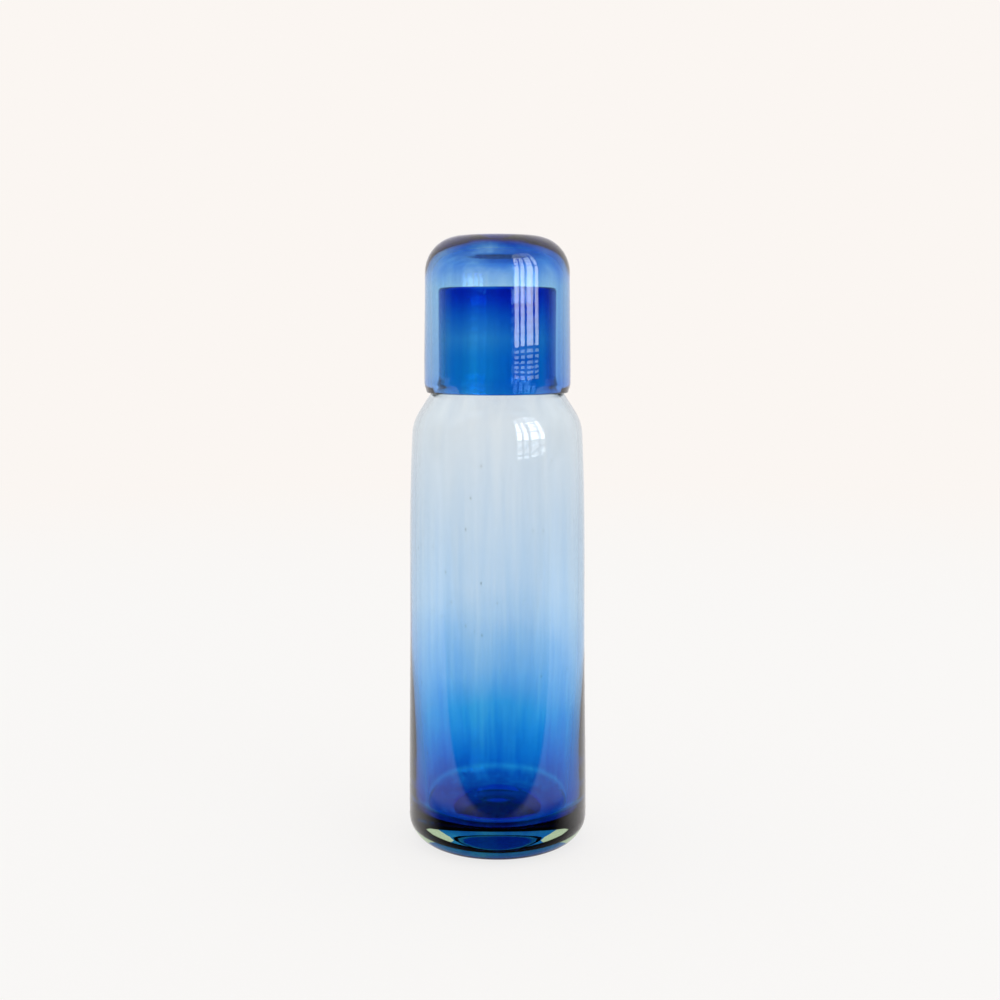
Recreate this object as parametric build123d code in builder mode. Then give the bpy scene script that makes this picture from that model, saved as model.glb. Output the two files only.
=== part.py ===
from build123d import *

import os
from math import cos, radians, sin, tan

# Bedside carafe of blown glass, with an upturned tumbler as its lid.
#
# Millimetres, +Z up. The origin is the centre of the ring that the carafe stands on.
# Both pieces are bodies of revolution about Z: each outline is drawn in the XZ plane as
# (radius, height) and revolved. The tumbler hangs over the neck, and its lip rests on
# the sloping shoulder of the carafe.

# Carafe, outside
body_radius = 38.1  # half way up the body
foot_flare = 0.85  # how much wider the foot is
top_draw_in = 1.35  # how much narrower the body is where it turns into the shoulder
heel_round = 11.5  # round between the standing ring and the side
body_height = 172.0  # up to where the side turns into the shoulder
shoulder_rise = 12.1  # from there to where the lines of side and shoulder would meet
shoulder_draw_in = 0.55  # how far the line of the side leans in over that rise
shoulder_slope = 57.2  # degrees above level
shoulder_round = 20.0
neck_radius = 25.0
neck_height = 56.4  # mouth above the corner of side and shoulder
neck_root_round = 7.0

# Carafe, underside
kick_radius = 19.0  # inner edge of the standing ring
kick_depth = 3.2  # how far the middle is pushed up

# Carafe, inside
body_wall = 2.3  # at the top of the body and on the shoulder
waist_wall = 3.0  # half way up the body
foot_wall = 6.2  # where the wall starts to turn into the floor
foot_wall_height = 34.0
foot_wall_lean = 1.4  # how far the wall comes in below that height
neck_wall = 2.8
floor_thickness = 14.6  # under the lowest ring of the inside floor
floor_round = 6.0  # round between the wall and the floor
floor_ring_width = 5.0  # width of that lowest ring
push_up_radius = 10.5  # raised middle of the floor
push_up_height = 3.7
push_up_round = 5.0

# Tumbler, outside and inside
neck_gap = 3.0  # air round the neck at the closed end of the tumbler
headroom = 18.25  # air between the mouth of the neck and the closed end
tumbler_wall = 2.7
tumbler_base = 3.5  # glass in the closed end, at the axis
tumbler_flare = 0.5  # how much wider the tumbler is at its lip
tumbler_foot_round = 15.2
tumbler_inner_round = 11.5
dome_drop = 2.4  # how much lower the closed end's inside is at the wall than at the axis
pontil_radius = 10.0  # ground hollow in the middle of the closed end
pontil_depth = 0.5

# Lip of the tumbler
lip_tip_round = 1.1
lip_rise = 3.6  # height of the bevel outside the lip
lip_draw_in = 1.03  # how far in the bevel brings the outside of the lip
lip_outer_round = 4.0
seat_gap = 0.15  # clearance between the lip and the shoulder it rests on

# Places that follow from the sizes
foot_radius = body_radius + foot_flare
top_radius = body_radius - top_draw_in
corner_radius = top_radius - shoulder_draw_in
corner_height = body_height + shoulder_rise
waist_height = body_height / 2
mouth_height = corner_height + neck_height
neck_bore = neck_radius - neck_wall
neck_lip_round = neck_wall / 2
foot_bore = foot_radius - foot_wall
floor_edge = foot_bore - foot_wall_lean
floor_ring_radius = floor_edge - floor_round - floor_ring_width
floor_middle = floor_thickness + push_up_height


def on_shoulder(radius, depth):
    """Height at this radius of the line that lies depth under the shoulder's surface."""
    slope = radians(shoulder_slope)
    return corner_height + (corner_radius - radius) * tan(slope) - depth / cos(slope)


closed_radius = neck_radius + neck_gap + tumbler_wall
lip_radius = closed_radius + tumbler_flare
lip_bore = lip_radius - tumbler_wall - lip_tip_round / 2
lip_tip_radius = lip_bore + lip_tip_round
lip_bottom = on_shoulder(lip_tip_radius, -lip_tip_round - seat_gap) - lip_tip_round
dome_top = mouth_height + headroom
tumbler_top = dome_top + tumbler_base

# ---- Carafe: body, shoulder and neck blown as one piece over a heavy solid foot ----
with BuildPart() as carafe:
    with BuildSketch(Plane.XZ):
        with BuildLine():
            # underside: a shallow kick inside the flat standing ring, then the heel
            kick = TangentArc((0, kick_depth), (kick_radius, 0), tangent=(1, 0))
            ring = Line(kick @ 1, (foot_radius - heel_round, 0))
            heel = TangentArc(ring @ 1, (foot_radius, heel_round), tangent=(1, 0))
            # side of the body, nearly straight, leaning in a little towards the shoulder
            side = Spline(
                heel @ 1,
                (body_radius, waist_height),
                (top_radius, body_height),
                tangents=((0, 1), (-shoulder_draw_in, shoulder_rise)),
                tangent_scalars=(1, 1),
            )
            # shoulder, root of the neck and neck
            outside = FilletPolyline(
                side @ 1,
                (corner_radius, corner_height),
                (neck_radius, on_shoulder(neck_radius, 0)),
                (neck_radius, mouth_height - neck_lip_round),
                radius=[shoulder_round, neck_root_round],
            )
            mouth = ThreePointArc(
                outside @ 1,
                (neck_radius - neck_lip_round, mouth_height),
                (neck_bore, mouth_height - neck_lip_round),
            )
            # inside of the neck and the shoulder
            inside = FilletPolyline(
                mouth @ 1,
                (neck_bore, on_shoulder(neck_bore, body_wall)),
                (corner_radius - body_wall, on_shoulder(corner_radius - body_wall, body_wall)),
                (top_radius - body_wall, body_height),
                radius=[neck_root_round + body_wall, shoulder_round - body_wall],
            )
            # the wall thickens towards the heavy foot
            bore = Spline(
                inside @ 1,
                (body_radius - waist_wall, waist_height),
                (foot_bore, foot_wall_height),
                tangents=(
                    (shoulder_draw_in, -shoulder_rise),
                    (-foot_wall_lean, floor_thickness - foot_wall_height),
                ),
                tangent_scalars=(1, 1),
            )
            floor = FilletPolyline(
                bore @ 1,
                (floor_edge, floor_thickness),
                (floor_ring_radius, floor_thickness),
                (push_up_radius, floor_middle),
                (0, floor_middle),
                radius=[floor_round, push_up_round, push_up_round],
            )
            Line(floor @ 1, kick @ 0)
        make_face()
    revolve(axis=Axis.Z)
carafe.part.label = "carafe"

# ---- Tumbler: a cup upside down over the neck, its closed end on top ----
with BuildPart() as tumbler:
    with BuildSketch(Plane.XZ):
        with BuildLine():
            # closed end: a ground hollow inside the ring that the cup stands on in use
            pontil = TangentArc(
                (0, tumbler_top - pontil_depth), (pontil_radius, tumbler_top), tangent=(1, 0)
            )
            foot = Line(pontil @ 1, (closed_radius - tumbler_foot_round, tumbler_top))
            foot_corner = TangentArc(
                foot @ 1, (closed_radius, tumbler_top - tumbler_foot_round), tangent=(1, 0)
            )
            wall = Spline(
                foot_corner @ 1,
                (lip_radius, lip_bottom + lip_rise + lip_outer_round),
                tangents=((0, -1), (0, -1)),
                tangent_scalars=(1, 1),
            )
            # lip, drawn in outside and rounded at its tip
            lip = FilletPolyline(
                wall @ 1,
                (lip_radius, lip_bottom + lip_rise),
                (lip_radius - lip_draw_in, lip_bottom),
                (lip_bore, lip_bottom),
                (lip_bore, lip_bottom + lip_rise),
                radius=[lip_outer_round, lip_tip_round, lip_tip_round],
            )
            # inside: a nearly straight wall and a low dome
            dome = FilletPolyline(
                lip @ 1,
                (closed_radius - tumbler_wall, dome_top - dome_drop),
                (0, dome_top),
                radius=[tumbler_inner_round],
            )
            Line(dome @ 1, pontil @ 0)
        make_face()
    revolve(axis=Axis.Z)
tumbler.part.label = "tumbler"

os.makedirs("parts", exist_ok=True)
export_step(carafe.part, "parts/carafe.step")
export_step(tumbler.part, "parts/tumbler.step")
print(f"lip of the tumbler at {lip_bottom:.2f}, top at {tumbler_top:.2f}")
print(f"bore of the neck {neck_bore:.2f}, mouth at {mouth_height:.2f}")
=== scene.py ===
import math

import bmesh
import bpy
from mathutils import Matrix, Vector
from mathutils.geometry import interpolate_bezier


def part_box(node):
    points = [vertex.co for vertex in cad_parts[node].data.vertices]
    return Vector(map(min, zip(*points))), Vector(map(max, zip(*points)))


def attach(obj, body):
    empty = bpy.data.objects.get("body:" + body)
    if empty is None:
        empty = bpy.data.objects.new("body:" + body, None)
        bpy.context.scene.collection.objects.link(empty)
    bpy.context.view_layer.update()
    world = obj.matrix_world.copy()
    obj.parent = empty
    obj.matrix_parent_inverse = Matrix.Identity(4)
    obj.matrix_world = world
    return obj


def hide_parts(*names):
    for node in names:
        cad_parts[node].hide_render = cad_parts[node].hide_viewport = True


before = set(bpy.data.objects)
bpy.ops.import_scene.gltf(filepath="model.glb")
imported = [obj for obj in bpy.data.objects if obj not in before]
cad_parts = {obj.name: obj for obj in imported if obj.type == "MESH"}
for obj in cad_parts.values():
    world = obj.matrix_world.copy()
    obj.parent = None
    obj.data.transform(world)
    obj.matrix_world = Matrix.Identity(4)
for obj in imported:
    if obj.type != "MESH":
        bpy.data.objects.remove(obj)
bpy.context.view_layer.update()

# ---------------------------------------------------------------------------------------
# Carafe. A tall blown bottle: body, shoulder and neck are one gather of clear glass over a
# heavy solid foot with a shallow kick underneath. It is turned from an outline, with the
# slight waves that blowing leaves in the wall.
# ---------------------------------------------------------------------------------------

mm = 0.001

FOOT_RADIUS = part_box("carafe")[1].x
MOUTH_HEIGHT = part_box("carafe")[1].z
BODY_RADIUS = 38.1 * mm  # half way up the body
TOP_RADIUS = 36.75 * mm  # where the body turns into the shoulder
BODY_HEIGHT = 172.0 * mm
CORNER_RADIUS = 36.2 * mm  # where the lines of side and shoulder would meet
CORNER_HEIGHT = 184.1 * mm
HEEL_ROUND = 11.5 * mm
SHOULDER_SLOPE = math.radians(57.2)
SHOULDER_ROUND = 20.0 * mm
NECK_RADIUS = 25.0 * mm
NECK_ROOT_ROUND = 7.0 * mm
KICK_RADIUS = 19.0 * mm  # the hollow under the foot
KICK_DEPTH = 3.2 * mm
KICK_ROUND = 30.0 * mm

NECK_WALL = 2.8 * mm
BODY_WALL = 2.3 * mm
WAIST_WALL = 3.0 * mm
FOOT_WALL = 6.2 * mm
FOOT_WALL_HEIGHT = 34.0 * mm
FOOT_WALL_LEAN = 1.4 * mm
FLOOR_THICKNESS = 14.6 * mm
FLOOR_ROUND = 6.0 * mm
FLOOR_RING_WIDTH = 5.0 * mm
PUSH_UP_RADIUS = 10.5 * mm  # the raised middle of the inside floor
PUSH_UP_HEIGHT = 3.7 * mm
PUSH_UP_ROUND = 5.0 * mm

# how closely the outline is drawn
POINT_STEP = 1.6 * mm
SHORTEST_STEP = 0.02 * mm
ARC_STEP = math.radians(6)
CURVE_POINTS = 24
GLASS_SEGMENTS = 192

# waves in the wall: their size, and how much shorter they are drawn up the piece
SLOW_WAVE = 70 * mm
SLOW_STRETCH = 0.5
FINE_WAVE = 16 * mm
FINE_STRETCH = 0.3
CALM_RADIUS = 12 * mm  # inside this radius the waves die away towards the axis
INSIDE_SHIFT = 7.3  # gives the inside surface waves of its own
JOIN_DISTANCE = 0.004 * mm
CARAFE_SLOW_DEPTH = 0.5 * mm
CARAFE_FINE_DEPTH = 0.06 * mm
CARAFE_SEED = 3.0


def on_shoulder(radius, depth=0.0):
    """Height at this radius of the line that lies depth under the shoulder's surface."""
    drop = depth / math.cos(SHOULDER_SLOPE)
    return CORNER_HEIGHT + (CORNER_RADIUS - radius) * math.tan(SHOULDER_SLOPE) - drop


def rounded(*corners):
    """Points along a line through (radius, height, round) corners, each rounded by an arc."""
    places = [Vector(corner[:2]) for corner in corners]
    path = [places[0]]
    for i in range(1, len(corners) - 1):
        here = places[i]
        inward = (places[i - 1] - here).normalized()
        outward = (places[i + 1] - here).normalized()
        half = inward.angle(outward) / 2
        reach = corners[i][2] / math.tan(half)
        centre = here + (inward + outward).normalized() * (corners[i][2] / math.sin(half))
        start = here + inward * reach - centre
        end = here + outward * reach - centre
        turn = math.copysign(math.pi - 2 * half, start.cross(end))
        steps = max(2, math.ceil(abs(turn) / ARC_STEP))
        for step in range(steps + 1):
            cos = math.cos(turn * step / steps)
            sin = math.sin(turn * step / steps)
            path.append(centre + Vector((start.x * cos - start.y * sin, start.x * sin + start.y * cos)))
    path.append(places[-1])
    return path


def leaning(start, start_lean, end, end_lean):
    """Points of a nearly upright curve from start to end; a lean is radius over height."""
    third = (end[1] - start[1]) / 3
    start_handle = (start[0] + third * start_lean, start[1] + third)
    end_handle = (end[0] - third * end_lean, end[1] - third)
    knots = [Vector((*knot, 0)) for knot in (start, start_handle, end_handle, end)]
    return [point.xy for point in interpolate_bezier(*knots, CURVE_POINTS)]


def evenly(path):
    """The same line with points no further apart than a small step."""
    points = [path[0]]
    for before, after in zip(path, path[1:]):
        span = (after - before).length
        if span > SHORTEST_STEP:
            count = math.ceil(span / POINT_STEP)
            points += [before.lerp(after, (i + 1) / count) for i in range(count)]
    return points


def outline_mesh(name, outside, inside):
    """The outline as a string of edges, with a value on each point that says which side it is."""
    points = [(point, 0.0) for point in outside] + [(point, 1.0) for point in inside]
    mesh = bpy.data.meshes.new(name)
    edges = [(i, i + 1) for i in range(len(points) - 1)]
    mesh.from_pydata([(point.x, 0, point.y) for point, _ in points], edges, [])
    side = mesh.attributes.new("inside", "FLOAT", "POINT")
    for value, (_, inner) in zip(side.data, points):
        value.value = inner
    return mesh


class NodeTree:
    """Adds nodes to a tree and links them: make() takes a type, its settings and its sockets."""

    def __init__(self, tree):
        self.tree = tree

    def make(self, kind, settings=None, sockets=None, output=0):
        node = self.tree.nodes.new(kind)
        for name, value in (settings or {}).items():
            if name == "stops":
                self.set_stops(node.color_ramp, value)
            else:
                setattr(node, name, value)
        for name, value in (sockets or {}).items():
            if isinstance(value, Socket):
                self.tree.links.new(value.socket, node.inputs[name])
            else:
                node.inputs[name].default_value = value
        return Socket(self, node.outputs[output]) if len(node.outputs) else node

    def apart(self, source, kind="ShaderNodeSeparateXYZ"):
        """The three parts of a vector or a colour."""
        node = self.tree.nodes.new(kind)
        self.tree.links.new(source.socket, node.inputs[0])
        return [Socket(self, part) for part in node.outputs]

    def drawn_up(self, place, stretch):
        """The place with its height made smaller, which draws a pattern out up the piece."""
        return self.make("ShaderNodeVectorMath", {"operation": "MULTIPLY"}, {0: place, 1: (1, 1, stretch)})

    def mix(self, factor, a, b):
        """Colour a where factor is 0 and colour b where it is 1."""
        return self.make("ShaderNodeMix", {"data_type": "RGBA"}, {0: factor, 6: a, 7: b}, output=2)

    @staticmethod
    def set_stops(ramp, stops):
        ramp.elements.remove(ramp.elements[1])
        for i, (place, colour) in enumerate(stops):
            element = ramp.elements[0] if i == 0 else ramp.elements.new(place)
            element.position = place
            element.color = (*colour, 1)


class Socket:
    """A node's output that takes part in sums: each operator adds the Math node it needs."""

    def __init__(self, owner, socket):
        self.owner = owner
        self.socket = socket

    def math(self, operation, *terms):
        return self.owner.make("ShaderNodeMath", {"operation": operation}, dict(enumerate(terms)))

    def __add__(self, other):
        return self.math("ADD", self, other)

    def __radd__(self, other):
        return self.math("ADD", other, self)

    def __sub__(self, other):
        return self.math("SUBTRACT", self, other)

    def __rsub__(self, other):
        return self.math("SUBTRACT", other, self)

    def __mul__(self, other):
        return self.math("MULTIPLY", self, other)

    def __rmul__(self, other):
        return self.math("MULTIPLY", other, self)

    def __truediv__(self, other):
        return self.math("DIVIDE", self, other)

    def __pow__(self, other):
        return self.math("POWER", self, other)

    def __gt__(self, other):
        return self.math("GREATER_THAN", self, other)

    def between(self, low, high):
        """0 below low, 1 above high and smooth in between."""
        return self.owner.make(
            "ShaderNodeMapRange",
            {"interpolation_type": "SMOOTHSTEP"},
            {"Value": self, "From Min": low, "From Max": high},
        )


def new_tree(name, inputs):
    """An empty Geometry Nodes tree with one shape to give out, and its inputs by their names."""
    tree = bpy.data.node_groups.new(name, "GeometryNodeTree")
    for label, kind, start in inputs:
        socket = tree.interface.new_socket(label, in_out="INPUT", socket_type=kind)
        if start is not None:
            socket.default_value = start
    tree.interface.new_socket("Shape", in_out="OUTPUT", socket_type="NodeSocketGeometry")
    graph = NodeTree(tree)
    given = tree.nodes.new("NodeGroupInput")
    return graph, {socket.name: Socket(graph, socket) for socket in given.outputs}


def lathe_tree():
    """Turns an outline round Z. Each ring is drawn from a grid, so the wall can be uneven."""
    graph, inputs = new_tree(
        "glass_lathe",
        (
            ("Outline", "NodeSocketGeometry", None),
            ("Segments", "NodeSocketInt", GLASS_SEGMENTS),
            ("Slow unevenness", "NodeSocketFloat", 0.0),
            ("Fine unevenness", "NodeSocketFloat", 0.0),
            ("Seed", "NodeSocketFloat", 0.0),
            ("Glass", "NodeSocketMaterial", None),
        ),
    )
    outline = inputs["Outline"]
    along_count = graph.make("GeometryNodeAttributeDomainSize", {"component": "MESH"}, {"Geometry": outline})
    around_count = inputs["Segments"] + 1
    grid = graph.make(
        "GeometryNodeMeshGrid",
        None,
        {"Size X": 1.0, "Size Y": 1.0, "Vertices X": along_count, "Vertices Y": around_count},
    )
    index = graph.make("GeometryNodeInputIndex")
    along = index.math("FLOOR", (index + 0.5) / around_count)
    turn = (index - along * around_count) / inputs["Segments"] * math.tau

    def drawn(kind, value):
        """What the outline's own point holds, for each point of the ring made from it."""
        return graph.make(
            "GeometryNodeSampleIndex",
            {"data_type": kind, "domain": "POINT"},
            {"Geometry": outline, "Value": value, "Index": along},
        )

    side = graph.make("GeometryNodeInputNamedAttribute", {"data_type": "FLOAT"}, {"Name": "inside"})
    inner = drawn("FLOAT", side)
    radius, _, height = graph.apart(drawn("FLOAT_VECTOR", graph.make("GeometryNodeInputPosition")))
    cos = turn.math("COSINE", turn)
    sin = turn.math("SINE", turn)
    ring = graph.make("ShaderNodeCombineXYZ", None, {0: radius * cos, 1: radius * sin, 2: height})
    away_from_axis = (radius / CALM_RADIUS).math("MINIMUM", radius / CALM_RADIUS, 1.0)

    def unevenness(size, depth, stretch):
        """Waves of about this size in the wall, longer up the piece than round it."""
        place = graph.drawn_up(ring, stretch)
        seed = inputs["Seed"] + inner * INSIDE_SHIFT
        noise = graph.make(
            "ShaderNodeTexNoise",
            {"noise_dimensions": "4D"},
            {"Vector": place, "W": seed, "Scale": 1 / size, "Detail": 1.0},
        )
        return (noise - 0.5) * depth * away_from_axis

    slow = unevenness(SLOW_WAVE, inputs["Slow unevenness"], SLOW_STRETCH)
    fine = unevenness(FINE_WAVE, inputs["Fine unevenness"], FINE_STRETCH)
    reach = radius + (slow + fine)
    place = graph.make("ShaderNodeCombineXYZ", None, {0: reach * cos, 1: reach * sin, 2: height})
    turned = graph.make("GeometryNodeSetPosition", None, {"Geometry": grid, "Position": place})
    marked = graph.make(
        "GeometryNodeStoreNamedAttribute",
        {"data_type": "FLOAT", "domain": "POINT"},
        {"Geometry": turned, "Name": "inside", "Value": inner},
    )
    closed = graph.make("GeometryNodeMergeByDistance", None, {"Geometry": marked, "Distance": JOIN_DISTANCE})
    smooth = graph.make("GeometryNodeSetShadeSmooth", None, {"Geometry": closed})
    real = graph.make("GeometryNodeRealizeInstances", None, {"Geometry": smooth})
    glazed = graph.make("GeometryNodeSetMaterial", None, {"Geometry": real, "Material": inputs["Glass"]})
    graph.make("NodeGroupOutput", None, {0: glazed})
    return graph.tree


def made_by(tree, name, start, sizes):
    """A plain mesh piece from a tree, with its faces pointing out; sizes go by the inputs' names."""
    maker = bpy.data.objects.new(name + "_maker", start)
    bpy.context.scene.collection.objects.link(maker)
    modifier = maker.modifiers.new("maker", "NODES")
    modifier.node_group = tree
    keys = {item.name: item.identifier for item in tree.interface.items_tree if item.in_out == "INPUT"}
    for label, value in sizes.items():
        modifier[keys[label]] = value
    depsgraph = bpy.context.evaluated_depsgraph_get()
    mesh = bpy.data.meshes.new_from_object(maker.evaluated_get(depsgraph))
    maker.modifiers.remove(modifier)
    bpy.data.objects.remove(maker)
    shape = bmesh.new()
    shape.from_mesh(mesh)
    if shape.calc_volume(signed=True) < 0:
        bmesh.ops.reverse_faces(shape, faces=shape.faces)
    shape.to_mesh(mesh)
    shape.free()
    piece = bpy.data.objects.new(name, mesh)
    bpy.context.scene.collection.objects.link(piece)
    return piece


# streaks in the blue, drawn out up the piece
STREAK_STRETCH = 0.04
FINE_SCALE = 500.0
FINE_DETAIL = 3.0
FINE_STRENGTH = 0.75
BROAD_SCALE = 120.0
BROAD_DETAIL = 1.0
BROAD_STRENGTH = 0.95
WIDE_SCALE = 62.0
WIDE_DETAIL = 0.0
WIDE_STRENGTH = 0.5
WIDE_EXTRA_IN_NECK = 1.6
NECK_STREAKS_START = 188 * mm
NECK_STREAKS_FULL = 205 * mm

# slow clouds, which lift and lower the blue of the body
CLOUD_SCALE = 32.0
CLOUD_DETAIL = 4.0
CLOUD_LIFT = 26 * mm
CLOUDS_FADE = 150 * mm
CLOUDS_END = 190 * mm


def patches(graph, place, scale, detail):
    """Soft random patches from 0 to 1, the smaller the higher the scale."""
    return graph.make("ShaderNodeTexNoise", None, {"Vector": place, "Scale": scale, "Detail": detail})


def blue(graph, colours, outside_share, layer=False):
    """The blue that the wall has at each height, in streaks; the outside shows a share of it."""
    place = graph.make("ShaderNodeTexCoord", output="Object")
    z = graph.apart(place)[2]
    low = colours[0][0]
    high = colours[-1][0]
    clouds = patches(graph, place, CLOUD_SCALE, CLOUD_DETAIL) - 0.5
    lift = clouds * CLOUD_LIFT * (1 - z.between(CLOUDS_FADE, CLOUDS_END))
    ramp = graph.make(
        "ShaderNodeValToRGB",
        {"stops": [((height - low) / (high - low), colour) for height, colour in colours]},
        {"Fac": (z - low + lift) / (high - low)},
    )
    drawn_out = graph.drawn_up(place, STREAK_STRETCH)
    fine = patches(graph, drawn_out, FINE_SCALE, FINE_DETAIL) - 0.5
    broad = patches(graph, drawn_out, BROAD_SCALE, BROAD_DETAIL) - 0.5
    wide = patches(graph, drawn_out, WIDE_SCALE, WIDE_DETAIL) - 0.5
    in_neck = z.between(NECK_STREAKS_START, NECK_STREAKS_FULL)
    wide_strength = in_neck * WIDE_EXTRA_IN_NECK + WIDE_STRENGTH
    streaks = 1 + fine * FINE_STRENGTH + broad * BROAD_STRENGTH + wide * wide_strength
    share = outside_share(z)
    if layer:
        power = (1 - share) * streaks
    else:
        # the outside tints light once, where the layer tints it at both of its faces
        inside = graph.make("ShaderNodeAttribute", {"attribute_name": "inside"}, output="Fac")
        power = share * streaks * 2 * (1 - inside)
    red, green, blue_part = [part**power for part in graph.apart(ramp, "ShaderNodeSeparateColor")]
    return graph.make("ShaderNodeCombineColor", None, {0: red, 1: green, 2: blue_part}), drawn_out


def new_material(name):
    """An empty material and its tree."""
    material = bpy.data.materials.new(name)
    material.use_nodes = True
    material.node_tree.nodes.clear()
    return material, NodeTree(material.node_tree)


def polished(graph, colour, ior, **others):
    """A smooth surface that light passes through, tinted by the colour."""
    sockets = {"Base Color": colour, "Roughness": 0.0, "IOR": ior, "Transmission Weight": 1.0}
    return graph.make("ShaderNodeBsdfPrincipled", None, sockets | others)


GLASS_IOR = 1.5
GREEN_TINT = (0.47, 0.62, 0.38, 1)  # the green that thick clear glass has
GREEN_DENSITY = 33.0
RIPPLE_SCALE = 160.0
RIPPLE_STRENGTH = 0.04
RIPPLE_DEPTH = 0.2 * mm


def glass_material(name, colours, outside_share):
    """Clear glass whose outside shows a share of the blue fused inside it."""
    material, graph = new_material(name)
    colour, drawn_out = blue(graph, colours, outside_share)
    ripple = patches(graph, drawn_out, RIPPLE_SCALE, 1.0)
    bump = graph.make(
        "ShaderNodeBump", None, {"Strength": RIPPLE_STRENGTH, "Distance": RIPPLE_DEPTH, "Height": ripple}
    )
    surface = polished(graph, colour, GLASS_IOR, Normal=bump)
    tint = graph.make("ShaderNodeVolumeAbsorption", None, {"Color": GREEN_TINT, "Density": GREEN_DENSITY})
    graph.make("ShaderNodeOutputMaterial", None, {"Surface": surface, "Volume": tint})
    return material


def layer_material(name, colours, outside_share):
    """Blue glass fused to the clear glass round it, so light passes it straight, only tinted."""
    material, graph = new_material(name)
    colour, _ = blue(graph, colours, outside_share, layer=True)
    graph.make("ShaderNodeOutputMaterial", None, {"Surface": polished(graph, colour, 1.0)})
    return material


OUTSIDE_SHARE = 0.5
CLEAR_FOOT_HEIGHT = 16 * mm
BLUE_WALL_HEIGHT = 20 * mm


def carafe_share(z):
    """None of the blue lies on the outside of the foot, and half of it higher up."""
    return z.between(CLEAR_FOOT_HEIGHT, BLUE_WALL_HEIGHT) * OUTSIDE_SHARE


CARAFE_BLUE = [
    (13 * mm, (0.03, 0.14, 0.58)),
    (18 * mm, (0.03, 0.20, 0.66)),
    (24 * mm, (0.03, 0.30, 0.80)),
    (32 * mm, (0.04, 0.39, 0.86)),
    (40 * mm, (0.05, 0.46, 0.90)),
    (48 * mm, (0.08, 0.51, 0.92)),
    (57 * mm, (0.21, 0.57, 0.94)),
    (66 * mm, (0.34, 0.64, 0.95)),
    (84 * mm, (0.50, 0.72, 0.96)),
    (110 * mm, (0.71, 0.84, 0.985)),
    (146 * mm, (0.80, 0.88, 0.97)),
    (182 * mm, (0.88, 0.92, 0.965)),
    (197 * mm, (0.86, 0.90, 0.95)),
    (200 * mm, (0.10, 0.66, 0.94)),
    (210 * mm, (0.12, 0.64, 0.94)),
    (219 * mm, (0.30, 0.70, 0.95)),
    (229 * mm, (0.12, 0.50, 0.91)),
    (235 * mm, (0.04, 0.32, 0.86)),
    (240.5 * mm, (0.02, 0.20, 0.78)),
]
carafe_glass = glass_material("carafe_glass", CARAFE_BLUE, carafe_share)

waist = BODY_HEIGHT / 2
foot_bore = FOOT_RADIUS - FOOT_WALL
waist_bore = BODY_RADIUS - WAIST_WALL
top_bore = TOP_RADIUS - BODY_WALL
corner_bore = CORNER_RADIUS - BODY_WALL
neck_bore = NECK_RADIUS - NECK_WALL
mouth_round = NECK_WALL / 2
floor_edge = foot_bore - FOOT_WALL_LEAN
floor_ring = floor_edge - FLOOR_ROUND - FLOOR_RING_WIDTH
floor_middle = FLOOR_THICKNESS + PUSH_UP_HEIGHT
foot_bore_lean = FOOT_WALL_LEAN / (FOOT_WALL_HEIGHT - FLOOR_THICKNESS)
body_lean = (TOP_RADIUS - FOOT_RADIUS) / BODY_HEIGHT
shoulder_lean = (CORNER_RADIUS - TOP_RADIUS) / (CORNER_HEIGHT - BODY_HEIGHT)
lower_bore = leaning((foot_bore, FOOT_WALL_HEIGHT), foot_bore_lean, (waist_bore, waist), body_lean)
upper_bore = leaning((waist_bore, waist), body_lean, (top_bore, BODY_HEIGHT), shoulder_lean)
carafe_outside = evenly(
    rounded((0, KICK_DEPTH, 0), (KICK_RADIUS / 2, KICK_DEPTH, KICK_ROUND), (KICK_RADIUS, 0, 0))
    + rounded((KICK_RADIUS, 0, 0), (FOOT_RADIUS, 0, HEEL_ROUND), (FOOT_RADIUS, HEEL_ROUND, 0))
    + leaning((FOOT_RADIUS, HEEL_ROUND), 0, (BODY_RADIUS, waist), body_lean)
    + leaning((BODY_RADIUS, waist), body_lean, (TOP_RADIUS, BODY_HEIGHT), shoulder_lean)
    + rounded(
        (TOP_RADIUS, BODY_HEIGHT, 0),
        (CORNER_RADIUS, CORNER_HEIGHT, SHOULDER_ROUND),
        (NECK_RADIUS, on_shoulder(NECK_RADIUS), NECK_ROOT_ROUND),
        (NECK_RADIUS, MOUTH_HEIGHT, mouth_round),
        (NECK_RADIUS - mouth_round, MOUTH_HEIGHT, 0),
    )
)
carafe_inside = evenly(
    rounded(
        (NECK_RADIUS - mouth_round, MOUTH_HEIGHT, 0),
        (neck_bore, MOUTH_HEIGHT, mouth_round),
        (neck_bore, on_shoulder(neck_bore, BODY_WALL), NECK_ROOT_ROUND + BODY_WALL),
        (corner_bore, on_shoulder(corner_bore, BODY_WALL), SHOULDER_ROUND - BODY_WALL),
        (top_bore, BODY_HEIGHT, 0),
    )
    + upper_bore[::-1]
    + lower_bore[::-1]
    + rounded(
        (foot_bore, FOOT_WALL_HEIGHT, 0),
        (floor_edge, FLOOR_THICKNESS, FLOOR_ROUND),
        (floor_ring, FLOOR_THICKNESS, PUSH_UP_ROUND),
        (PUSH_UP_RADIUS, floor_middle, PUSH_UP_ROUND),
        (0, floor_middle, 0),
    )
)
lathe = lathe_tree()
carafe = made_by(
    lathe,
    "carafe_blown_glass",
    outline_mesh("carafe_outline", carafe_outside, carafe_inside[1:]),
    {
        "Segments": GLASS_SEGMENTS,
        "Slow unevenness": CARAFE_SLOW_DEPTH,
        "Fine unevenness": CARAFE_FINE_DEPTH,
        "Seed": CARAFE_SEED,
        "Glass": carafe_glass,
    },
)
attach(carafe, "carafe")
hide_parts("carafe")

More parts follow.
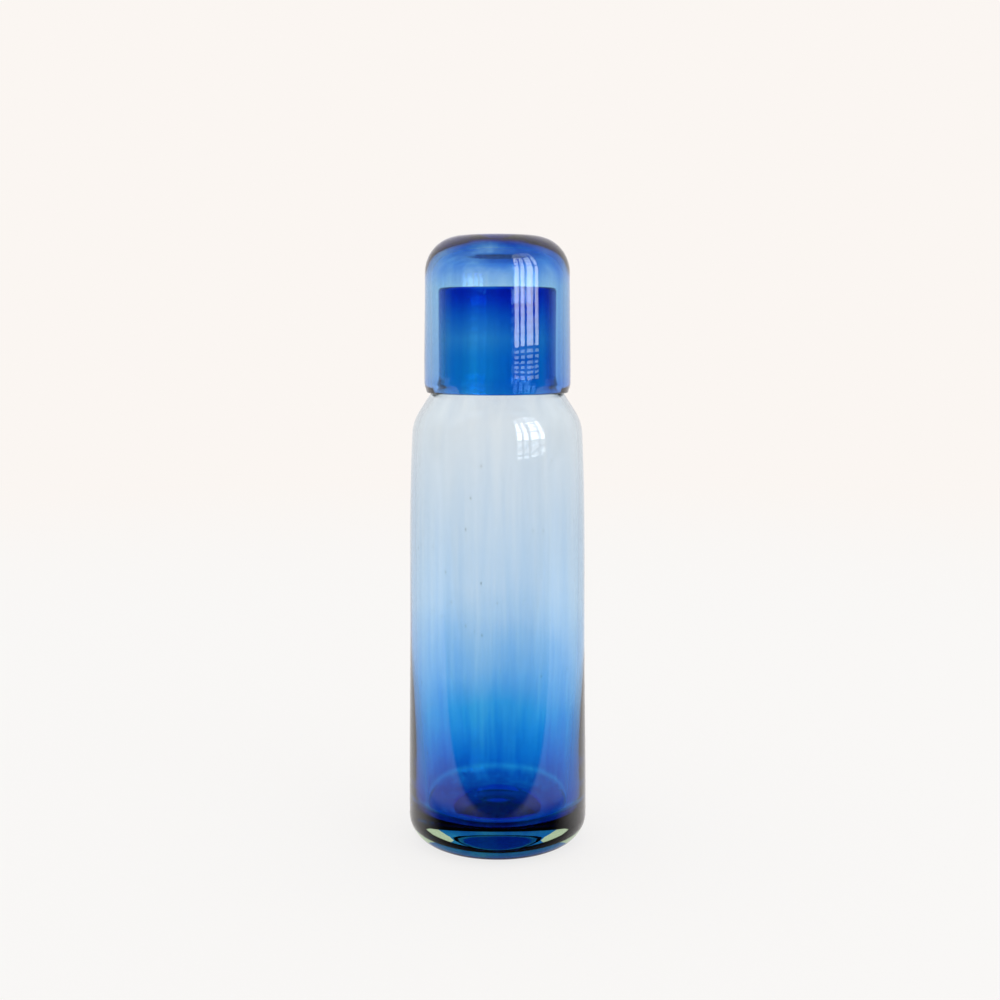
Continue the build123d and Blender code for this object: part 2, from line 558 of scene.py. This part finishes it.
# ---------------------------------------------------------------------------------------
# Blue layer of the carafe. A thin skin of cobalt glass fused inside the clear glass while
# both were molten: strongest in the floor and the neck, drawn out thin at the shoulder.
# ---------------------------------------------------------------------------------------

LAYER_DEPTH = 0.45 * mm  # how far it lies under the inside surface
LAYER_THICKNESS = 0.12 * mm
LAYER_SEGMENTS = 128


def set_back(path, depth):
    """The line moved into the glass, which lies to the left of its direction."""
    moved = []
    for i, point in enumerate(path):
        along = (path[min(i + 1, len(path) - 1)] - path[max(i - 1, 0)]).normalized()
        moved.append(point + Vector((-along.y, along.x)) * depth)
        if point.x == 0:
            moved[-1].x = 0
    return moved


def layer_outline(name, inside):
    """A thin closed skin just under an inside surface, from the axis to the lip and back."""
    near = set_back(inside, LAYER_DEPTH)
    far = set_back(inside, LAYER_DEPTH + LAYER_THICKNESS)
    loop = near + far[::-1] if inside[0].x == 0 else far[::-1] + near
    return outline_mesh(name, [], loop)


carafe_layer = made_by(
    lathe,
    "carafe_blue_layer",
    layer_outline("carafe_layer_outline", carafe_inside),
    {
        "Segments": LAYER_SEGMENTS,
        "Slow unevenness": CARAFE_SLOW_DEPTH,
        "Fine unevenness": CARAFE_FINE_DEPTH,
        "Seed": CARAFE_SEED,
        "Glass": layer_material("carafe_blue_layer", CARAFE_BLUE, carafe_share),
    },
)
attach(carafe_layer, "carafe")
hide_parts("carafe")

# ---------------------------------------------------------------------------------------
# Blue drop of the carafe. The thick middle of the first blue gather, which sagged under the
# floor of the bottle before the clear glass of the foot was laid over it.
# ---------------------------------------------------------------------------------------

DROP_RADIUS = 20.5 * mm
DROP_BOTTOM = 4.5 * mm
DROP_TOP = 13.0 * mm
DROP_FLAT_RADIUS = 17.5 * mm
DROP_LOWER_ROUND = 6.0 * mm
DROP_UPPER_ROUND = 3.0 * mm
DROP_BLUE = [
    (4 * mm, (0.02, 0.27, 0.98)),
    (13 * mm, (0.01, 0.12, 0.88)),
]

drop_line = evenly(
    rounded(
        (0, DROP_BOTTOM, 0),
        (DROP_FLAT_RADIUS, DROP_BOTTOM, DROP_LOWER_ROUND),
        (DROP_RADIUS, DROP_TOP, DROP_UPPER_ROUND),
        (0, DROP_TOP, 0),
    )
)
carafe_drop = made_by(
    lathe,
    "carafe_blue_drop",
    outline_mesh("carafe_drop_outline", [], drop_line),
    {
        "Segments": LAYER_SEGMENTS,
        "Slow unevenness": 1.2 * mm,
        "Fine unevenness": 0.2 * mm,
        "Seed": 5.0,
        "Glass": layer_material("carafe_blue_drop", DROP_BLUE, carafe_share),
    },
)
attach(carafe_drop, "carafe")
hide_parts("carafe")

# ---------------------------------------------------------------------------------------
# Seeds of the carafe. Tiny bubbles of air that the melt held, drawn out upwards as the
# wall was blown; a few dozen lie scattered through it.
# ---------------------------------------------------------------------------------------

SEED_LOW = 30 * mm
SEED_HIGH = 165 * mm
SEED_DEPTH = 1.2 * mm  # under the outside of the body
SEED_LENGTH = 1.8  # length over width
seed_slope = (FOOT_RADIUS - BODY_RADIUS) / waist


def seeds_tree():
    """Small upright bubbles scattered in the wall of the body."""
    graph, inputs = new_tree(
        "glass_seeds",
        (
            ("Start", "NodeSocketGeometry", None),
            ("Count", "NodeSocketInt", 40),
            ("Smallest", "NodeSocketFloat", 0.1 * mm),
            ("Largest", "NodeSocketFloat", 0.3 * mm),
            ("Seed", "NodeSocketInt", 0),
            ("Air", "NodeSocketMaterial", None),
        ),
    )

    def chance(low, high, step):
        """A random number for each bubble; each use takes its own step of the seed."""
        return graph.make(
            "FunctionNodeRandomValue",
            {"data_type": "FLOAT"},
            {2: low, 3: high, "Seed": inputs["Seed"] + step},
            output=1,
        )

    turn = chance(0.0, math.tau, 0)
    height = chance(SEED_LOW, SEED_HIGH, 1)
    size = chance(inputs["Smallest"], inputs["Largest"], 2)
    radius = BODY_RADIUS - SEED_DEPTH - (height - waist) * seed_slope
    across = radius * turn.math("COSINE", turn)
    deep = radius * turn.math("SINE", turn)
    place = graph.make("ShaderNodeCombineXYZ", None, {0: across, 1: deep, 2: height})
    points = graph.make("GeometryNodePoints", None, {"Count": inputs["Count"], "Position": place})
    ball = graph.make("GeometryNodeMeshIcoSphere", None, {"Radius": 1.0, "Subdivisions": 2})
    bubble = graph.make("GeometryNodeSetShadeSmooth", None, {"Geometry": ball})
    shape = graph.make("ShaderNodeCombineXYZ", None, {0: size, 1: size, 2: size * SEED_LENGTH})
    spread = graph.make(
        "GeometryNodeInstanceOnPoints", None, {"Points": points, "Instance": bubble, "Scale": shape}
    )
    real = graph.make("GeometryNodeRealizeInstances", None, {"Geometry": spread})
    filled = graph.make("GeometryNodeSetMaterial", None, {"Geometry": real, "Material": inputs["Air"]})
    graph.make("NodeGroupOutput", None, {0: filled})
    return graph.tree


air, graph = new_material("seed_air")
graph.make("ShaderNodeOutputMaterial", None, {"Surface": polished(graph, (1, 1, 1, 1), 1 / GLASS_IOR)})
seeds = made_by(
    seeds_tree(),
    "carafe_seeds",
    bpy.data.meshes.new("seeds_start"),
    {"Count": 70, "Smallest": 0.08 * mm, "Largest": 0.3 * mm, "Seed": 4, "Air": air},
)
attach(seeds, "carafe")
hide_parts("carafe")

# ---------------------------------------------------------------------------------------
# Tumbler. A small blown cup of pale blue glass, stood upside down over the neck. Its lip
# is fire-polished and drawn in a little; its closed end is thick, with a ground hollow
# where the punty was.
# ---------------------------------------------------------------------------------------

LIP_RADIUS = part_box("tumbler")[1].x
CLOSED_RADIUS = 30.7 * mm
TUMBLER_WALL = 2.7 * mm
TUMBLER_BASE = 3.5 * mm
TUMBLER_FOOT_ROUND = 15.2 * mm
TUMBLER_INNER_ROUND = 11.5 * mm
DOME_DROP = 2.4 * mm
PONTIL_RADIUS = 10.0 * mm  # the ground hollow
PONTIL_DEPTH = 0.5 * mm
PONTIL_ROUND = 24.0 * mm
LIP_TIP_ROUND = 1.1 * mm
LIP_RISE = 3.6 * mm  # height of the bevel outside the lip
LIP_DRAW_IN = 1.03 * mm
LIP_OUTER_ROUND = 4.0 * mm
TUMBLER_SLOW_DEPTH = 0.25 * mm
TUMBLER_FINE_DEPTH = 0.04 * mm
TUMBLER_SEED = 11.0


BLUE_WALL_TOP = 244 * mm
CLEAR_END_HEIGHT = 250 * mm


def tumbler_share(z):
    """Half of the blue lies on the outside of the wall, and none on the closed end."""
    return (1 - z.between(BLUE_WALL_TOP, CLEAR_END_HEIGHT)) * OUTSIDE_SHARE


TUMBLER_BLUE = [
    (196 * mm, (0.36, 0.58, 0.93)),
    (204 * mm, (0.50, 0.70, 0.95)),
    (225 * mm, (0.56, 0.75, 0.95)),
    (241 * mm, (0.56, 0.76, 0.95)),
    (248 * mm, (0.45, 0.66, 0.94)),
    (254 * mm, (0.34, 0.57, 0.92)),
    (256 * mm, (0.22, 0.47, 0.88)),
    (259 * mm, (0.03, 0.17, 0.60)),
]

lip_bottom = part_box("tumbler")[0].z
tumbler_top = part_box("tumbler")[1].z
dome_top = tumbler_top - TUMBLER_BASE
hollow_top = tumbler_top - PONTIL_DEPTH
foot_low = tumbler_top - TUMBLER_FOOT_ROUND
lip_bore = LIP_RADIUS - TUMBLER_WALL - LIP_TIP_ROUND / 2
lip_middle = lip_bore + LIP_TIP_ROUND
bevel_top = lip_bottom + LIP_RISE
tumbler_inside = evenly(
    rounded(
        (0, dome_top, 0),
        (CLOSED_RADIUS - TUMBLER_WALL, dome_top - DOME_DROP, TUMBLER_INNER_ROUND),
        (lip_bore, bevel_top, 0),
    )
    + rounded((lip_bore, bevel_top, 0), (lip_bore, lip_bottom, LIP_TIP_ROUND), (lip_middle, lip_bottom, 0))
)
tumbler_outside = evenly(
    rounded(
        (lip_middle, lip_bottom, 0),
        (LIP_RADIUS - LIP_DRAW_IN, lip_bottom, LIP_TIP_ROUND / 2),
        (LIP_RADIUS, bevel_top, LIP_OUTER_ROUND),
        (LIP_RADIUS, bevel_top + LIP_OUTER_ROUND, 0),
    )
    + leaning((LIP_RADIUS, bevel_top + LIP_OUTER_ROUND), 0, (CLOSED_RADIUS, foot_low), 0)
    + rounded(
        (CLOSED_RADIUS, foot_low, 0),
        (CLOSED_RADIUS, tumbler_top, TUMBLER_FOOT_ROUND),
        (PONTIL_RADIUS, tumbler_top, 0),
    )
    + rounded(
        (PONTIL_RADIUS, tumbler_top, 0),
        (PONTIL_RADIUS / 2, hollow_top, PONTIL_ROUND),
        (0, hollow_top, 0),
    )
)
tumbler = made_by(
    lathe,
    "tumbler_blown_glass",
    outline_mesh("tumbler_outline", tumbler_outside[::-1], tumbler_inside[::-1][1:]),
    {
        "Segments": GLASS_SEGMENTS,
        "Slow unevenness": TUMBLER_SLOW_DEPTH,
        "Fine unevenness": TUMBLER_FINE_DEPTH,
        "Seed": TUMBLER_SEED,
        "Glass": glass_material("tumbler_glass", TUMBLER_BLUE, tumbler_share),
    },
)
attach(tumbler, "tumbler")
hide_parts("tumbler")

# ---------------------------------------------------------------------------------------
# Blue layer of the tumbler. The same kind of thin fused skin as in the carafe, pale in the
# wall and deep in the closed end, where the gather was thickest.
# ---------------------------------------------------------------------------------------

tumbler_layer = made_by(
    lathe,
    "tumbler_blue_layer",
    layer_outline("tumbler_layer_outline", tumbler_inside),
    {
        "Segments": LAYER_SEGMENTS,
        "Slow unevenness": TUMBLER_SLOW_DEPTH,
        "Fine unevenness": TUMBLER_FINE_DEPTH,
        "Seed": TUMBLER_SEED,
        "Glass": layer_material("tumbler_blue_layer", TUMBLER_BLUE, tumbler_share),
    },
)
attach(tumbler_layer, "tumbler")
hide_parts("tumbler")

# ---------------------------------------------------------------------------------------
# Studio walls. A pale wall far behind and soft light all round. Reflections show a room
# instead: bright at the back, dim at the sides and overhead, and dark in front.
# ---------------------------------------------------------------------------------------

PALE_WALL = (0.965, 0.922, 0.888, 1)
BRIGHT_WALL = (1.08, 1.07, 1.09, 1)  # painted extra light: what shows through the glass glows brighter than the wall and paper seen straight
BRIGHT_ROOM = (0.97, 0.94, 0.93, 1)
BACK_ROOM = (0.90, 0.87, 0.88, 1)
SIDE_ROOM = (0.40, 0.37, 0.38, 1)
DARK_ROOM = (0.02, 0.017, 0.016, 1)
CEILING = (0.13, 0.10, 0.105, 1)

# where the parts of the room meet, as how far back or up a direction points, from -1 to 1
SIDE_START = -0.1
SIDE_FULL = 0.35
BACK_START = 0.2
BACK_FULL = 0.8
BRIGHT_CEILING_FULL = 0.4
CEILING_START = 0.35
CEILING_FULL = 0.75


def met(graph, kind):
    """1 for light that has met this kind of surface at least once on its way to the eye."""
    return graph.make("ShaderNodeLightPath", output=kind) > 0.5


def emission(graph, colour, strength=1.0):
    return graph.make("ShaderNodeEmission", None, {"Color": colour, "Strength": strength})


world = bpy.data.worlds.new("studio")
bpy.context.scene.world = world
world.use_nodes = True
world.node_tree.nodes.clear()
graph = NodeTree(world.node_tree)
_, toward_back, upward = graph.apart(graph.make("ShaderNodeTexCoord", output="Generated"))
room = graph.mix(toward_back.between(SIDE_START, SIDE_FULL), DARK_ROOM, SIDE_ROOM)
room = graph.mix(toward_back.between(BACK_START, BACK_FULL), room, BACK_ROOM)
ceiling = graph.mix(toward_back.between(SIDE_START, BRIGHT_CEILING_FULL), CEILING, BRIGHT_ROOM)
room = graph.mix(upward.between(CEILING_START, CEILING_FULL), room, ceiling)
# painted extra light: the wall is brighter where it is seen through the glass
straight = graph.mix(met(graph, "Transmission Depth"), PALE_WALL, BRIGHT_WALL)
seen = graph.mix(met(graph, "Glossy Depth"), straight, room)
background = graph.make("ShaderNodeBackground", None, {"Color": seen, "Strength": 1.0})
graph.make("ShaderNodeOutputWorld", None, {"Surface": background})

# ---------------------------------------------------------------------------------------
# Sheet. Pale paper on the table, which fades into the wall far behind. Where the glass
# mirrors it, the paper ends in front of the carafe and the dark room begins.
# ---------------------------------------------------------------------------------------

SHEET_RADIUS = 6.0
PALE_PAPER = (0.945, 0.938, 0.930, 1)
PAPER = (0.97, 0.97, 0.96, 1)
GLOW_SHARE = 0.82  # how much of the paper's brightness takes no shadow
SWEEP_START = 0.5
SWEEP_END = 1.6
PAPER_EDGE = -0.09
PAPER_EDGE_SLANT = 0.16
PAPER_EDGE_BLUR = 0.015
SHADE_START = 0.095  # painted shade: near the carafe's front the mirrored paper is dark too, as the carafe's shadow on it
SHADE_END = 0.12
SHADE_FRONT = -0.045
FAR_START = 0.3
FAR_FULL = 1.0

sheet_mesh = bpy.data.meshes.new("sheet")
shape = bmesh.new()
bmesh.ops.create_circle(shape, cap_ends=True, radius=SHEET_RADIUS, segments=96)
shape.to_mesh(sheet_mesh)
shape.free()
sheet = bpy.data.objects.new("sheet", sheet_mesh)
bpy.context.scene.collection.objects.link(sheet)
sheet_paper, graph = new_material("sheet_paper")
place = graph.make("ShaderNodeTexCoord", output="Object")
sideways, forward, _ = graph.apart(place)
distance = graph.make("ShaderNodeVectorMath", {"operation": "LENGTH"}, {0: place}, output="Value")
paper = graph.make("ShaderNodeBsdfDiffuse", None, {"Color": PAPER})
lit_paper = graph.make("ShaderNodeMixShader", None, {0: GLOW_SHARE, 1: paper, 2: emission(graph, PALE_PAPER)})
sweep = distance.between(SWEEP_START, SWEEP_END)
direct = graph.make("ShaderNodeMixShader", None, {0: sweep, 1: lit_paper, 2: emission(graph, PALE_WALL)})
# painted extra light: seen through the glass, the paper is a bright glow with no shadow
through = met(graph, "Transmission Depth")
straight = graph.make("ShaderNodeMixShader", None, {0: through, 1: direct, 2: emission(graph, BRIGHT_WALL)})
beyond_shade = distance.between(SHADE_START, SHADE_END)
behind_shade = forward.between(SHADE_FRONT, 0.0)
lit_ring = beyond_shade.math("MAXIMUM", beyond_shade, behind_shade)
edge = forward + sideways.math("ABSOLUTE", sideways) * PAPER_EDGE_SLANT
lit_part = edge.between(PAPER_EDGE - PAPER_EDGE_BLUR, PAPER_EDGE) * lit_ring
far_room = graph.mix((forward / distance).between(BACK_START, BACK_FULL), SIDE_ROOM, BACK_ROOM)
far_paper = graph.mix(distance.between(FAR_START, FAR_FULL), BRIGHT_ROOM, far_room)
mirrored_paper = emission(graph, graph.mix(lit_part, DARK_ROOM, far_paper))
mirrored = met(graph, "Glossy Depth")
laid = graph.make("ShaderNodeMixShader", None, {0: mirrored, 1: straight, 2: mirrored_paper})
graph.make("ShaderNodeOutputMaterial", None, {"Surface": laid})
sheet_mesh.materials.append(sheet_paper)

# ---------------------------------------------------------------------------------------
# Window. Four columns of panes under a dim arch, with a slatted blind low down, to the
# right of the camera. Only reflections show it. A soft lamp there gives the faint shadow.
# ---------------------------------------------------------------------------------------

WINDOW_AZIMUTH = math.radians(47)
WINDOW_DISTANCE = 1.2
WINDOW_SILL = 0.09
COLUMNS = ((-0.45, -0.30), (-0.235, -0.10), (-0.02, 0.20), (0.275, 0.42))
ROWS = ((0.145, 0.46), (0.50, 0.68), (0.72, 0.88), (0.92, 1.05))
SLATS = 6
LOWEST_SLAT = 0.072
SLAT_STEP = 0.012
SLAT_HEIGHT = 0.007
ARCH_LOW = 1.20
ARCH_RADIUS = 0.50
ARCH_BAR = 0.02  # the upright bar in the middle of each part of the arch
ARCH_STEPS = 4
DAYLIGHT = (1.0, 0.99, 1.0, 1)
DAYLIGHT_STRENGTH = 7.5
ARCH_STRENGTH = 2.8

window_mesh = bpy.data.meshes.new("window")
shape = bmesh.new()
window_across = Vector((math.cos(WINDOW_AZIMUTH), math.sin(WINDOW_AZIMUTH), 0))
window_foot = Vector((math.sin(WINDOW_AZIMUTH), -math.cos(WINDOW_AZIMUTH), 0)) * WINDOW_DISTANCE


def pane(left, right, bottom, tops, slot):
    """A pane between two uprights, with a straight or curved top."""
    steps = len(tops) - 1
    top = [(left + (right - left) * i / steps, tops[i]) for i in range(steps + 1)]
    corners = [(left, bottom), (right, bottom)] + top[::-1]
    places = [window_foot + window_across * along + Vector((0, 0, up)) for along, up in corners]
    face = shape.faces.new([shape.verts.new(place) for place in places])
    face.material_index = slot


for left, right in COLUMNS:
    for low, high in ROWS:
        pane(left, right, WINDOW_SILL + low, [WINDOW_SILL + high] * 2, 0)
    for i in range(SLATS):
        low = WINDOW_SILL + LOWEST_SLAT + SLAT_STEP * i
        pane(left, right, low, [low + SLAT_HEIGHT] * 2, 1)
    middle = (left + right) / 2
    for start, end in ((left, middle - ARCH_BAR / 2), (middle + ARCH_BAR / 2, right)):
        uprights = [start + (end - start) * i / ARCH_STEPS for i in range(ARCH_STEPS + 1)]
        tops = [ARCH_LOW + math.sqrt(ARCH_RADIUS**2 - upright**2) for upright in uprights]
        pane(start, end, ARCH_LOW, tops, 1)
shape.to_mesh(window_mesh)
shape.free()
window = bpy.data.objects.new("window", window_mesh)
bpy.context.scene.collection.objects.link(window)
for name, strength in (("daylight", DAYLIGHT_STRENGTH), ("arch_daylight", ARCH_STRENGTH)):
    daylight, graph = new_material(name)
    glow = emission(graph, DAYLIGHT, strength)
    nothing = graph.make("ShaderNodeBsdfTransparent")
    mirrored = met(graph, "Glossy Depth")
    shown = graph.make("ShaderNodeMixShader", None, {0: mirrored, 1: nothing, 2: glow})
    graph.make("ShaderNodeOutputMaterial", None, {"Surface": shown})
    window_mesh.materials.append(daylight)
window.visible_diffuse = False
window.visible_shadow = False

LAMP_HEIGHT = 0.9
LAMP_AIM = Vector((0, 0, 0.1))

lamp_data = bpy.data.lights.new("window_light", "AREA")
lamp_data.shape = "RECTANGLE"
lamp_data.size = 0.8
lamp_data.size_y = 1.2
lamp_data.energy = 2.0
lamp = bpy.data.objects.new("window_light", lamp_data)
lamp.location = window_foot + Vector((0, 0, LAMP_HEIGHT))
lamp.rotation_euler = (LAMP_AIM - lamp.location).to_track_quat("-Z", "Y").to_euler()
lamp.visible_glossy = False
lamp.visible_transmission = False
lamp.visible_camera = False
bpy.context.scene.collection.objects.link(lamp)

# ---------------------------------------------------------------------------------------
# Camera. It stands at the height of the neck, 0.6 m away, and looks down a little.
# ---------------------------------------------------------------------------------------

CAMERA_PLACE = (0.0011, -0.60335, 0.2227)
CAMERA_DIP = 6.87  # degrees below level
FOCAL_LENGTH = 50.65  # mm, on a sensor 36 mm wide

camera_data = bpy.data.cameras.new("camera")
camera_data.sensor_width = 36
camera_data.lens = FOCAL_LENGTH
camera = bpy.data.objects.new("camera", camera_data)
camera.location = CAMERA_PLACE
camera.rotation_euler = (math.radians(90 - CAMERA_DIP), 0, 0)
bpy.context.scene.collection.objects.link(camera)
bpy.context.scene.camera = camera

scene = bpy.context.scene
scene.view_settings.view_transform = "Standard"
scene.cycles.max_bounces = 64
scene.cycles.transmission_bounces = 60
scene.cycles.glossy_bounces = 16
scene.cycles.transparent_max_bounces = 16
scene.cycles.use_denoising = True
